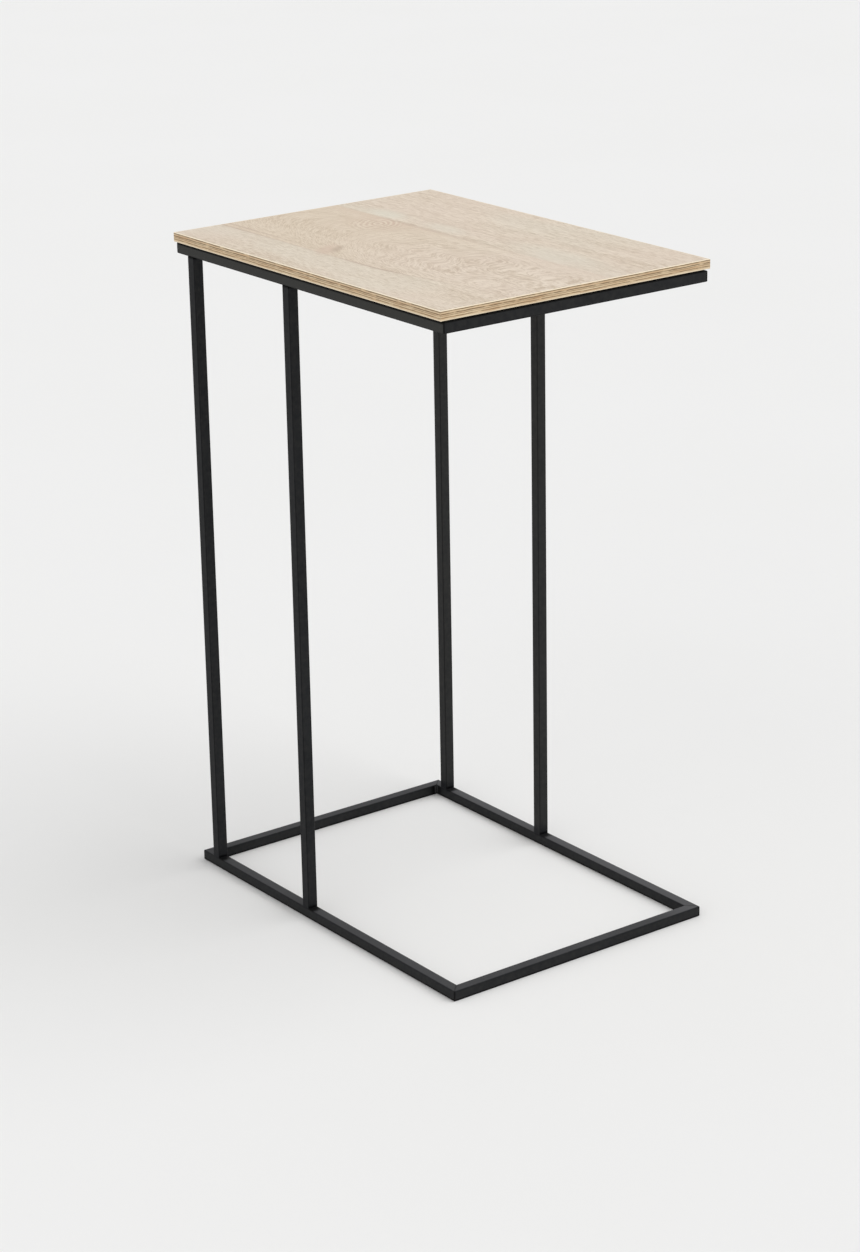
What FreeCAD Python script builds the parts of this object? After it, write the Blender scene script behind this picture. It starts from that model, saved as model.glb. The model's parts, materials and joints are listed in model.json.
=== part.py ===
import FreeCAD, Part
import os

import Sketcher

# C-shaped side table: a thin laminated board on a knock-down frame of square steel tube.
# Frame of reference: +Z up, floor at Z = 0, origin in the middle of the footprint.
# The legs stand towards +Y, the spine. The table is open towards -Y, where a seat slides in.
# X runs across the table: -X is called left and +X right.

doc = FreeCAD.newDocument("CTable")

# Driving sizes in millimetres: name, value, meaning.
sizeRows = [
    ("overallHeight", 610.0, "floor to the upper face of the board"),
    ("frameWidth", 281.0, "outer width of both rings, along X"),
    ("frameDepth", 395.0, "outer depth of both rings, along Y"),
    ("tubeSize", 10.0, "outside of the square tube"),
    ("tubeWall", 1.0, "wall of the square tube"),
    ("tubeOuterRadius", 1.1, "outer corner radius of the tube"),
    ("tubeInnerRadius", 0.3, "inner corner radius of the tube"),
    ("spineInset", 16.5, "spine face of the rings to the spine legs"),
    ("legSpacing", 149.0, "spine legs to inner legs, centre to centre"),
    ("boardThickness", 8.5, "whole board, with both laminates"),
    ("sideOverhang", 3.0, "board past the top ring, left and right"),
    ("laminateThickness", 0.5, "each laminate sheet"),
    ("bandThickness", 1.0, "edge band"),
    ("bandArris", 0.5, "rounding of the long outer edges of the band"),
    ("weldSize", 1.2, "radius of the quarter-round bead in an inner ring corner"),
    ("plugLength", 14.0, "threaded plug in a leg end"),
    ("boltDiameter", 4.0, "leg bolt, over the thread"),
    ("boltLength", 12.0, "leg bolt, under its head"),
    ("boltHeadDiameter", 7.0, "head of the leg bolt"),
    ("boltHeadHeight", 4.0, "height of that head"),
    ("boltChamfer", 0.4, "chamfer of the bolt's head and tip"),
    ("socketWidth", 3.0, "hexagon socket, across the flats"),
    ("socketDepth", 2.0, "depth of the hexagon socket"),
    ("boltPlay", 0.25, "hole in the tube wall round a bolt, per side"),
    ("headPlay", 0.25, "access hole round a bolt or screw head, per side"),
    ("screwDiameter", 3.5, "board screw, over the thread"),
    ("screwLength", 8.0, "board screw, under its head"),
    ("screwTipLength", 2.5, "pointed end of the board screw"),
    ("screwHeadDiameter", 7.0, "pan head of the board screw"),
    ("screwHeadHeight", 2.2, "height of the pan head"),
    ("screwHeadRounding", 1.4, "rounding of the pan head"),
    ("recessSpan", 3.6, "cross recess, tip to tip"),
    ("recessWidth", 0.9, "width of one slot of the cross recess"),
    ("recessDepth", 1.3, "depth of the cross recess"),
    ("screwPlay", 0.25, "hole in the tube wall or a washer round a board screw, per side"),
    ("screwEndMargin", 60.0, "end of a ring to the nearest screw in its long tubes"),
    ("washerThickness", 1.0, "washer that keeps the board off the top ring at each screw"),
    ("washerDiameter", 7.6, "outside of that washer"),
]

sheet = doc.addObject("Spreadsheet::Sheet", "Sizes")
for row, (alias, value, meaning) in enumerate(sizeRows, start=1):
    sheet.set(f"A{row}", alias)
    sheet.set(f"B{row}", str(value))
    sheet.set(f"C{row}", meaning)
    sheet.setAlias(f"B{row}", alias)
doc.recompute()

# Places that several pieces share, as expressions on the sheet.
boardUnderside = "Sizes.overallHeight - Sizes.boardThickness"
topRingTop = boardUnderside + " - Sizes.washerThickness"
topRingUnderside = topRingTop + " - Sizes.tubeSize"
legLength = topRingUnderside + " - Sizes.tubeSize"
longTubeX = "(Sizes.frameWidth - Sizes.tubeSize) / 2"
shortTubeY = "(Sizes.frameDepth - Sizes.tubeSize) / 2"
spineLegY = "(Sizes.frameDepth / 2 - Sizes.spineInset - Sizes.tubeSize / 2)"
innerLegY = "(" + spineLegY + " - Sizes.legSpacing)"
screwY = "(Sizes.frameDepth / 2 - Sizes.screwEndMargin)"
boltHole = "Sizes.boltDiameter + 2 * Sizes.boltPlay"
boltAccess = "Sizes.boltHeadDiameter + 2 * Sizes.headPlay"
screwHole = "Sizes.screwDiameter + 2 * Sizes.screwPlay"
screwAccess = "Sizes.screwHeadDiameter + 2 * Sizes.headPlay"

# The four sides, seen as pieces that run along local X with their outer face towards local -Y:
# turn about Z, direction and sign of the outer face, ring size along the piece and across it.
sides = {
    "open_end": {"turn": 0, "axis": "y", "sign": "-", "along": "frameWidth", "across": "frameDepth"},
    "right": {"turn": 90, "axis": "x", "sign": "", "along": "frameDepth", "across": "frameWidth"},
    "spine": {"turn": 180, "axis": "y", "sign": "", "along": "frameWidth", "across": "frameDepth"},
    "left": {"turn": 270, "axis": "x", "sign": "-", "along": "frameDepth", "across": "frameWidth"},
}

# The board beside the ring size it goes with: past the ring left and right, flush at both ends.
boardSize = {
    "frameWidth": "(Sizes.frameWidth + 2 * Sizes.sideOverhang)",
    "frameDepth": "Sizes.frameDepth",
}

# The four legs: sign of X and place along Y.
legs = {
    "spine_left": ("-", spineLegY),
    "spine_right": ("", spineLegY),
    "inner_left": ("-", innerLegY),
    "inner_right": ("", innerLegY),
}

sawOverrun = 1.0    # a mitre cut runs past the faces of its tube by this much
nodes = []          # every sub-part that becomes a file


# ---- document helpers

def newBody(label):
    body = doc.addObject("PartDesign::Body", label)
    body.Label = label
    return body


def newSketch(body, name, planeRole):
    plane = next(f for f in body.Origin.OriginFeatures if f.Role == planeRole)
    sketch = body.newObject("Sketcher::SketchObject", name)
    sketch.AttachmentSupport = [(plane, "")]
    sketch.MapMode = "FlatFace"
    return sketch


def bind(sketch, constraint, name, expression):
    index = sketch.addConstraint(constraint)
    sketch.renameConstraint(index, name)
    sketch.setExpression("Constraints." + name, expression)


def place(piece, x="0", y="0", z="0", turn=0, upsideDown=False):
    rotation = FreeCAD.Rotation(FreeCAD.Vector(0, 0, 1), turn)
    if upsideDown:
        rotation = rotation.multiply(FreeCAD.Rotation(FreeCAD.Vector(1, 0, 0), 180))
    piece.Placement = FreeCAD.Placement(FreeCAD.Vector(0, 0, 0), rotation)
    for axis, expression in (("x", x), ("y", y), ("z", z)):
        if expression != "0":
            piece.setExpression(".Placement.Base." + axis, expression)


def placeOnSide(piece, side, distance, z):
    place(piece, z=z, turn=side["turn"])
    piece.setExpression(".Placement.Base." + side["axis"], f"{side['sign']}({distance})")


# ---- sketch shapes

def roundedSquare(sketch, name, width, radius):
    # A square round the sketch's origin with four equal round corners.
    half, corner = 5.0, 1.0    # first guess, which the constraints replace
    inner = half - corner
    first = sketch.GeometryCount
    ends = [((-inner, -half), (inner, -half)), ((half, -inner), (half, inner)),
            ((inner, half), (-inner, half)), ((-half, inner), (-half, -inner))]
    centres = [(inner, -inner), (inner, inner), (-inner, inner), (-inner, -inner)]
    quarter = Part.Circle().LastParameter / 4
    for start, end in ends:
        sketch.addGeometry(Part.LineSegment(FreeCAD.Vector(*start), FreeCAD.Vector(*end)), False)
    for index, centre in enumerate(centres):
        circle = Part.Circle(FreeCAD.Vector(*centre), FreeCAD.Vector(0, 0, 1), corner)
        arc = Part.ArcOfCircle(circle, (index - 1) * quarter, index * quarter)
        sketch.addGeometry(arc, False)
    for index in range(4):
        arc = first + 4 + index
        sketch.addConstraint(Sketcher.Constraint("Tangent", first + index, 2, arc, 1))
        sketch.addConstraint(Sketcher.Constraint("Tangent", arc, 2, first + (index + 1) % 4, 1))
    for arc in range(first + 4, first + 7):
        sketch.addConstraint(Sketcher.Constraint("Equal", arc, arc + 1))
    sketch.addConstraint(Sketcher.Constraint("Horizontal", first + 2))
    sketch.addConstraint(Sketcher.Constraint("Vertical", first + 3))
    sketch.addConstraint(Sketcher.Constraint("Symmetric", first, 1, first, 2, -2))
    sketch.addConstraint(Sketcher.Constraint("Symmetric", first + 1, 1, first + 1, 2, -1))
    across = Sketcher.Constraint("DistanceX", first + 3, 1, first + 1, 1, 2 * half)
    upward = Sketcher.Constraint("DistanceY", first, 1, first + 2, 1, 2 * half)
    bind(sketch, across, name + "Width", width)
    bind(sketch, upward, name + "Height", width)
    bind(sketch, Sketcher.Constraint("Radius", first + 4, corner), name + "Radius", radius)


def outline(sketch, name, corners):
    # A closed outline through corners (x, y), each an expression or "0" for the axis itself.
    first = sketch.GeometryCount
    count = len(corners)
    guess = Part.Circle()
    step = guess.LastParameter / count
    points = [guess.value(step * index) for index in range(count)]
    for index in range(count):
        line = Part.LineSegment(points[index], points[(index + 1) % count])
        sketch.addGeometry(line, False)
    for index in range(count):
        following = first + (index + 1) % count
        sketch.addConstraint(Sketcher.Constraint("Coincident", first + index, 2, following, 1))
    for index, corner in enumerate(corners):
        line = first + index
        for kind, axis, expression in zip(("DistanceX", "DistanceY"), (-2, -1), corner):
            if expression == "0":
                sketch.addConstraint(Sketcher.Constraint("PointOnObject", line, 1, axis))
            else:
                distance = Sketcher.Constraint(kind, -1, 1, line, 1, 1.0)
                bind(sketch, distance, f"{name}{kind[-1]}{index}", expression)


def rectangle(sketch, name, width, depth):
    # A rectangle round the sketch's origin.
    halfWidth, halfDepth = f"({width}) / 2", f"({depth}) / 2"
    outline(sketch, name, [(f"-{halfWidth}", f"-{halfDepth}"), (halfWidth, f"-{halfDepth}"),
                           (halfWidth, halfDepth), (f"-{halfWidth}", halfDepth)])


def circles(sketch, name, centres, diameter):
    for index, centre in enumerate(centres):
        circle = Part.Circle(FreeCAD.Vector(index, index, 0), FreeCAD.Vector(0, 0, 1), 0.5)
        hole = sketch.addGeometry(circle, False)
        for kind, axis, expression in zip(("DistanceX", "DistanceY"), (-2, -1), centre):
            if expression == "0":
                sketch.addConstraint(Sketcher.Constraint("PointOnObject", hole, 3, axis))
            else:
                distance = Sketcher.Constraint(kind, -1, 1, hole, 3, 1.0)
                bind(sketch, distance, f"{name}{kind[-1]}{index}", expression)
        size = Sketcher.Constraint("Diameter", hole, 1.0)
        bind(sketch, size, f"{name}Diameter{index}", diameter)


# ---- features

def pad(body, sketch, length, symmetric=False):
    feature = body.newObject("PartDesign::Pad", "Pad")
    feature.Profile = sketch
    feature.SideType = "Symmetric" if symmetric else "One side"
    feature.setExpression("Length", length)
    sketch.Visibility = False
    return feature


def pocket(body, sketch, direction, depth=None):
    # direction: "up" and "down" start at the sketch, "both" goes both ways.
    doc.recompute()
    before = body.Shape.Volume
    feature = body.newObject("PartDesign::Pocket", "Pocket")
    feature.Profile = sketch
    feature.SideType = "Symmetric" if direction == "both" else "One side"
    feature.Reversed = direction == "up"
    if depth:
        feature.Type = "Length"
        feature.setExpression("Length", depth)
    else:
        feature.Type = "ThroughAll"
    doc.recompute()
    if body.Shape.Volume >= before:
        raise RuntimeError(f"{body.Label}: {sketch.Label} cuts nothing")
    return feature


def drill(body, name, centres, diameter, direction, depth=None):
    sketch = newSketch(body, name, "XY_Plane")
    circles(sketch, name, centres, diameter)
    return pocket(body, sketch, direction, depth)


def dressEdges(body, kind, sizeName, size, test):
    # A fillet or chamfer on the edges of the body whose middle point passes the test.
    doc.recompute()
    base = body.Tip
    names = []
    for index, edge in enumerate(base.Shape.Edges, start=1):
        if test(edge):
            names.append(f"Edge{index}")
    feature = body.newObject("PartDesign::" + kind, kind)
    feature.Base = (base, names)
    feature.setExpression(sizeName, size)
    return feature


def scatter(label, piece, places):
    # A node that holds one separate solid for each place.
    links = []
    for index, where in enumerate(places, start=1):
        link = doc.addObject("App::Link", f"{label}_{index}")
        link.LinkedObject = piece
        place(link, **where)
        links.append(link)
    group = doc.addObject("Part::Compound", label)
    group.Label = label
    group.Links = links
    nodes.append(group)


# ---- frame

def tubeProfile(body, planeRole):
    sketch = newSketch(body, "Section", planeRole)
    roundedSquare(sketch, "outside", "Sizes.tubeSize", "Sizes.tubeOuterRadius")
    roundedSquare(sketch, "inside", "Sizes.tubeSize - 2 * Sizes.tubeWall",
                  "Sizes.tubeInnerRadius")
    return sketch


def mitreEnds(body, length):
    # Both ends are sawn at 45 degrees, so the outer face keeps the whole length.
    sketch = newSketch(body, "Mitres", "XY_Plane")
    for name, sign in (("first", ""), ("second", "-")):
        end = f"{sign}({length} / 2 + {sawOverrun})"
        start = f"{sign}({length} / 2 - Sizes.tubeSize - {sawOverrun})"
        outer = f"-(Sizes.tubeSize / 2 + {sawOverrun})"
        inner = f"Sizes.tubeSize / 2 + {sawOverrun}"
        outline(sketch, name, [(end, outer), (end, inner), (start, inner)])
    pocket(body, sketch, "both")


def longTubeStation(side, y):
    # A place along the depth of the table, in the local X of a left or right tube.
    return (f"-({y})" if side["turn"] == 270 else y, "0")


def ringTube(ringName, sideName, boltSide):
    side = sides[sideName]
    isLong = side["along"] == "frameDepth"
    length = "Sizes." + side["along"]
    tube = newBody(f"{ringName}_ring_{sideName}_tube")
    pad(tube, tubeProfile(tube, "YZ_Plane"), length, symmetric=True)
    mitreEnds(tube, length)
    if isLong:
        stations = [longTubeStation(side, spineLegY), longTubeStation(side, innerLegY)]
        keySide = "up" if boltSide == "down" else "down"
        drill(tube, "BoltHoles", stations, boltHole, boltSide)
        drill(tube, "BoltAccess", stations, boltAccess, keySide)
    if ringName == "top":
        stations = [(screwY, "0"), (f"-{screwY}", "0")] if isLong else [("0", "0")]
        drill(tube, "ScrewHoles", stations, screwHole, "up")
        drill(tube, "ScrewAccess", stations, screwAccess, "down")
    middle = "Sizes.tubeSize / 2"
    height = f"{topRingUnderside} + {middle}" if ringName == "top" else middle
    placeOnSide(tube, side, f"(Sizes.{side['across']} - Sizes.tubeSize) / 2", height)
    nodes.append(tube)


def weldBead():
    bead = newBody("weld_bead")
    sketch = newSketch(bead, "Section", "XY_Plane")
    start, end = FreeCAD.Vector(1, 0), FreeCAD.Vector(0, 1)
    corner = FreeCAD.Vector(0, 0)
    circle = Part.Circle(corner, FreeCAD.Vector(0, 0, 1), 1.0)
    quarter = circle.LastParameter / 4
    sketch.addGeometry(Part.LineSegment(corner, start), False)
    sketch.addGeometry(Part.ArcOfCircle(circle, 0, quarter), False)
    sketch.addGeometry(Part.LineSegment(end, corner), False)
    for first, second in ((0, 1), (1, 2), (2, 0)):
        sketch.addConstraint(Sketcher.Constraint("Coincident", first, 2, second, 1))
    sketch.addConstraint(Sketcher.Constraint("Coincident", 0, 1, -1, 1))
    sketch.addConstraint(Sketcher.Constraint("Coincident", 1, 3, -1, 1))
    sketch.addConstraint(Sketcher.Constraint("Horizontal", 0))
    sketch.addConstraint(Sketcher.Constraint("Vertical", 2))
    bind(sketch, Sketcher.Constraint("Radius", 1, 1.0), "bead", "Sizes.weldSize")
    pad(bead, sketch, "Sizes.tubeSize - 2 * Sizes.tubeOuterRadius", symmetric=True)
    return bead


def ringWelds(ringName, bead):
    x = "(Sizes.frameWidth / 2 - Sizes.tubeSize)"
    y = "(Sizes.frameDepth / 2 - Sizes.tubeSize)"
    middle = "Sizes.tubeSize / 2"
    z = f"{topRingUnderside} + {middle}" if ringName == "top" else middle
    corners = (("-", "-", 0), ("", "-", 90), ("", "", 180), ("-", "", 270))
    places = [{"x": xSign + x, "y": ySign + y, "z": z, "turn": turn}
              for xSign, ySign, turn in corners]
    scatter(f"{ringName}_ring_corner_welds", bead, places)


def leg(legName):
    xSign, y = legs[legName]
    tube = newBody(f"{legName}_leg")
    pad(tube, tubeProfile(tube, "XY_Plane"), legLength)
    place(tube, x=xSign + longTubeX, y=y, z="Sizes.tubeSize")
    nodes.append(tube)


def legPlug(legName, endName):
    xSign, y = legs[legName]
    plug = newBody(f"{legName}_leg_{endName}_plug")
    sketch = newSketch(plug, "Section", "XY_Plane")
    roundedSquare(sketch, "outside", "Sizes.tubeSize - 2 * Sizes.tubeWall",
                  "Sizes.tubeInnerRadius")
    pad(plug, sketch, "Sizes.plugLength")
    drill(plug, "Thread", [("0", "0")], "Sizes.boltDiameter", "up")
    z = topRingUnderside + " - Sizes.plugLength" if endName == "top" else "Sizes.tubeSize"
    place(plug, x=xSign + longTubeX, y=y, z=z)
    nodes.append(plug)


# ---- fasteners, each with its head above Z = 0 and its shank below

def legBolt():
    bolt = newBody("leg_bolt")
    sketch = newSketch(bolt, "HalfSection", "XZ_Plane")
    headRadius, radius = "Sizes.boltHeadDiameter / 2", "Sizes.boltDiameter / 2"
    outline(sketch, "half", [("0", "Sizes.boltHeadHeight"), (headRadius, "Sizes.boltHeadHeight"),
                             (headRadius, "0"), (radius, "0"),
                             (radius, "-Sizes.boltLength"), ("0", "-Sizes.boltLength")])
    turned = bolt.newObject("PartDesign::Revolution", "Turned")
    turned.Profile = sketch
    turned.ReferenceAxis = (sketch, ["V_Axis"])
    doc.recompute()
    top, tip = turned.Shape.BoundBox.ZMax, turned.Shape.BoundBox.ZMin

    def isEndCircle(edge):
        box = edge.BoundBox
        return box.ZLength < 0.01 and box.XLength > 0.01 and min(top - box.ZMin, box.ZMin - tip) < 0.01

    dressEdges(bolt, "Chamfer", "Size", "Sizes.boltChamfer", isEndCircle)
    doc.recompute()
    socket = bolt.newObject("PartDesign::SubtractivePrism", "Socket")
    socket.Polygon = 6
    socket.setExpression("Circumradius", "Sizes.socketWidth / sqrt(3)")
    socket.setExpression("Height", "Sizes.socketDepth")
    socket.setExpression(".Placement.Base.z", "Sizes.boltHeadHeight - Sizes.socketDepth")
    return bolt


def boardScrew():
    screw = newBody("board_screw")
    sketch = newSketch(screw, "HalfSection", "XZ_Plane")
    headRadius, radius = "Sizes.screwHeadDiameter / 2", "Sizes.screwDiameter / 2"
    outline(sketch, "half", [("0", "Sizes.screwHeadHeight"), (headRadius, "Sizes.screwHeadHeight"),
                             (headRadius, "0"), (radius, "0"),
                             (radius, "Sizes.screwTipLength - Sizes.screwLength"),
                             ("0", "-Sizes.screwLength")])
    turned = screw.newObject("PartDesign::Revolution", "Turned")
    turned.Profile = sketch
    turned.ReferenceAxis = (sketch, ["V_Axis"])
    doc.recompute()
    top = turned.Shape.BoundBox.ZMax

    def isHeadRim(edge):
        box = edge.BoundBox
        return box.ZLength < 0.01 and box.XLength > 0.01 and top - box.ZMin < 0.01

    dressEdges(screw, "Fillet", "Radius", "Sizes.screwHeadRounding", isHeadRim)
    doc.recompute()
    for name, length, width in (("SlotX", "recessSpan", "recessWidth"),
                                ("SlotY", "recessWidth", "recessSpan")):
        slot = screw.newObject("PartDesign::SubtractiveBox", name)
        slot.setExpression("Length", "Sizes." + length)
        slot.setExpression("Width", "Sizes." + width)
        slot.setExpression("Height", "Sizes.recessDepth")
        slot.setExpression(".Placement.Base.x", f"-Sizes.{length} / 2")
        slot.setExpression(".Placement.Base.y", f"-Sizes.{width} / 2")
        slot.setExpression(".Placement.Base.z", "Sizes.screwHeadHeight - Sizes.recessDepth")
        doc.recompute()
    return screw


def legBolts(bolt):
    # Each head is sunk in a ring tube, on the inner face of the wall that meets the leg.
    seats = {
        "top": {"z": topRingUnderside + " + Sizes.tubeWall", "upsideDown": False},
        "base": {"z": "Sizes.tubeSize - Sizes.tubeWall", "upsideDown": True},
    }
    for ringName, seat in seats.items():
        places = [dict(seat, x=xSign + longTubeX, y=y) for xSign, y in legs.values()]
        scatter(f"{ringName}_leg_bolts", bolt, places)


screwStations = [
    (longTubeX, screwY), (longTubeX, "-" + screwY),
    ("-" + longTubeX, screwY), ("-" + longTubeX, "-" + screwY),
    ("0", shortTubeY), ("0", "-" + shortTubeY),
]


def boardScrews(screw):
    # Driven up out of the top ring, heads sunk in its tubes against their upper wall.
    seat = topRingTop + " - Sizes.tubeWall"
    places = [{"x": x, "y": y, "z": seat, "upsideDown": True} for x, y in screwStations]
    scatter("board_screws", screw, places)


def boardWasher():
    washer = newBody("board_washer")
    sketch = newSketch(washer, "Outline", "XY_Plane")
    circles(sketch, "rim", [("0", "0")], "Sizes.washerDiameter")
    pad(washer, sketch, "Sizes.washerThickness")
    drill(washer, "ScrewHole", [("0", "0")], screwHole, "up")
    return washer


def boardWashers(washer):
    # One round each screw, on the flat of the top ring. They leave the thin dark gap.
    places = [{"x": x, "y": y, "z": topRingTop} for x, y in screwStations]
    scatter("board_washers", washer, places)


# ---- board

def boardSheet(label, thickness, z, holeDepth=None, drilled=True):
    body = newBody(label)
    sketch = newSketch(body, "Outline", "XY_Plane")
    width, depth = (f"{whole} - 2 * Sizes.bandThickness" for whole in boardSize.values())
    rectangle(sketch, "sheet", width, depth)
    pad(body, sketch, thickness)
    if drilled:
        drill(body, "ScrewHoles", screwStations, "Sizes.screwDiameter", "up", holeDepth)
    place(body, z=z)
    nodes.append(body)


def edgeBand(sideName):
    # The long bands run the whole depth, and the short ones fit between them.
    side = sides[sideName]
    length = boardSize[side["along"]]
    if side["along"] == "frameWidth":
        length += " - 2 * Sizes.bandThickness"
    band = newBody(f"{sideName}_edge_band")
    sketch = newSketch(band, "Section", "YZ_Plane")
    outline(sketch, "band", [("0", "0"), ("0", "Sizes.boardThickness"),
                             ("-Sizes.bandThickness", "Sizes.boardThickness"),
                             ("-Sizes.bandThickness", "0")])
    pad(band, sketch, length, symmetric=True)
    doc.recompute()
    outerFace = band.Shape.BoundBox.YMin

    def isOuterLongEdge(edge):
        box = edge.BoundBox
        return box.YMax - outerFace < 0.01 and box.ZLength < 0.01

    dressEdges(band, "Fillet", "Radius", "Sizes.bandArris", isOuterLongEdge)
    distance = f"{boardSize[side['across']]} / 2 - Sizes.bandThickness"
    placeOnSide(band, side, distance, boardUnderside)
    nodes.append(band)


# ---- the table

bead = weldBead()
for ringName, boltSide in (("base", "up"), ("top", "down")):
    for sideName in sides:
        ringTube(ringName, sideName, boltSide)
    ringWelds(ringName, bead)

for legName in legs:
    leg(legName)
    for endName in ("base", "top"):
        legPlug(legName, endName)

legBolts(legBolt())
boardScrews(boardScrew())
boardWashers(boardWasher())

coreUnderside = boardUnderside + " + Sizes.laminateThickness"
pilotDepth = ("Sizes.screwLength - Sizes.tubeWall - Sizes.washerThickness"
              " - Sizes.laminateThickness")
boardSheet("underside_laminate", "Sizes.laminateThickness", boardUnderside)
boardSheet("board_core", "Sizes.boardThickness - 2 * Sizes.laminateThickness",
           coreUnderside, holeDepth=pilotDepth)
boardSheet("top_laminate", "Sizes.laminateThickness",
           "Sizes.overallHeight - Sizes.laminateThickness", drilled=False)
for sideName in sides:
    edgeBand(sideName)

doc.recompute()

# ---- every object is sound before anything is written

for item in doc.Objects:
    if "Invalid" in item.State or "Error" in item.State:
        raise RuntimeError(f"{item.Label} failed: {item.State}")
for node in nodes:
    if node.Shape.isNull() or not node.Shape.isValid():
        raise RuntimeError(f"{node.Label} has no valid shape")

os.makedirs("parts", exist_ok=True)
for node in nodes:
    node.Shape.exportStep(f"parts/{node.Label}.step")
    print(f"{node.Label}: {len(node.Shape.Solids)} solid(s), {node.Shape.Volume:.1f} mm3")
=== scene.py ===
import json
import math

import bmesh
import bpy
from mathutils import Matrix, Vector


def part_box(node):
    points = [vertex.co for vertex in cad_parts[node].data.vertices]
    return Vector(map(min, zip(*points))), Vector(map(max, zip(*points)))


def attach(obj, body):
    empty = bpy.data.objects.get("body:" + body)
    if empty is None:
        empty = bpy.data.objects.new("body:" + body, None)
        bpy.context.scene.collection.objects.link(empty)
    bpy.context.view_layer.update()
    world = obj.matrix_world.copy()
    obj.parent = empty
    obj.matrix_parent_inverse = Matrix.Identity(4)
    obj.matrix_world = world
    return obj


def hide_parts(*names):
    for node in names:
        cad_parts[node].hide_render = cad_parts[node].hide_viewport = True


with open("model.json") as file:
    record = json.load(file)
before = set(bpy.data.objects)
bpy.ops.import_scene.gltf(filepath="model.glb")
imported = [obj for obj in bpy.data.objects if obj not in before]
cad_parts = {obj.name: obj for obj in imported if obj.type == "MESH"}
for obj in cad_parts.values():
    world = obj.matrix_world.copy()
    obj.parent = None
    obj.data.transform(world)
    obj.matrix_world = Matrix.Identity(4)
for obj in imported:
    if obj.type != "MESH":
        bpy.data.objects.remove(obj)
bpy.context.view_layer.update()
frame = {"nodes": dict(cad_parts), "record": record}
nodes = frame["nodes"]
scene = bpy.context.scene
print("frame loaded:", len(nodes), "nodes")

mm = 0.001
pinch = 0.05        # radius in mm to which a rim is drawn in before it is merged to a point
clear = 1.0         # how far in mm a cutter reaches past the face that it opens
near = 0.01         # how close in mm an edge lies to the height by which it is picked


def boxOf(node):  # a node's lowest and highest corner in mm, each as x, y and z
    return [[round(value / mm, 3) for value in corner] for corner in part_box(node)]


# sizes and places that several pieces share, in millimetres, worked out from the solids
ringLow, ringHigh = boxOf("top_ring_left_tube")
ringUnderside, ringTop = ringLow[2], ringHigh[2]
boardUnderside = boxOf("underside_laminate")[0][2]
board = boxOf("top_laminate")[1][2] - boardUnderside
tube = ringTop - ringUnderside
legLow, plugLow = boxOf("inner_left_leg")[0], boxOf("inner_left_leg_base_plug")[0]
wall = plugLow[0] - legLow[0]                                   # the plug fills the leg's bore
tubeX, tubeY = -ringLow[0] - tube / 2, ringHigh[1] - tube / 2   # middle lines of the ring's tubes
cornerX, cornerY = tubeX - tube / 2, tubeY - tube / 2           # inner corners of the rings
legStations = [sum(corner[1] for corner in boxOf(leg)) / 2      # where the legs stand along y
               for leg in ("inner_left_leg", "spine_left_leg")]


# shader maths: a Value is one socket, and an expression on values adds the Math nodes
class Value:
    def __init__(self, finish, socket):
        self.finish = finish
        self.socket = socket

    def calc(self, operation, *others, clamp=False):
        sockets = {index: item for index, item in enumerate((self, *others))}
        return self.finish.add("Math", {"operation": operation, "use_clamp": clamp}, sockets)

    def __add__(self, other):
        return self.calc("ADD", other)

    def __sub__(self, other):
        return self.calc("SUBTRACT", other)

    def __rsub__(self, other):
        return self.calc("MULTIPLY", -1.0).calc("ADD", other)

    def __mul__(self, other):
        return self.calc("MULTIPLY", other)

    def __truediv__(self, other):
        return self.calc("DIVIDE", other)

    def __gt__(self, other):
        return self.calc("GREATER_THAN", other)

    def __abs__(self):
        return self.calc("ABSOLUTE")

    __radd__ = __add__
    __rmul__ = __mul__

    def within(self, low, high):  # 0 below low, 1 above high, smooth in between
        return self.finish.add("MapRange", {"interpolation_type": "SMOOTHSTEP"},
                               {"Value": self, "From Min": low, "From Max": high})

    def line(self, centre, width):  # 1 on a thin soft line
        return 1.0 - abs(self - centre).within(width * 0.25, width)

    def clamp(self):
        return self.calc("ADD", 0.0, clamp=True)


def tone(red, green, blue):  # a colour as it is read off a screen, made linear
    def linear(level):
        share = level / 255
        return share / 12.92 if share <= 0.04045 else ((share + 0.055) / 1.055) ** 2.4
    return (linear(red), linear(green), linear(blue), 1.0)


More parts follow.
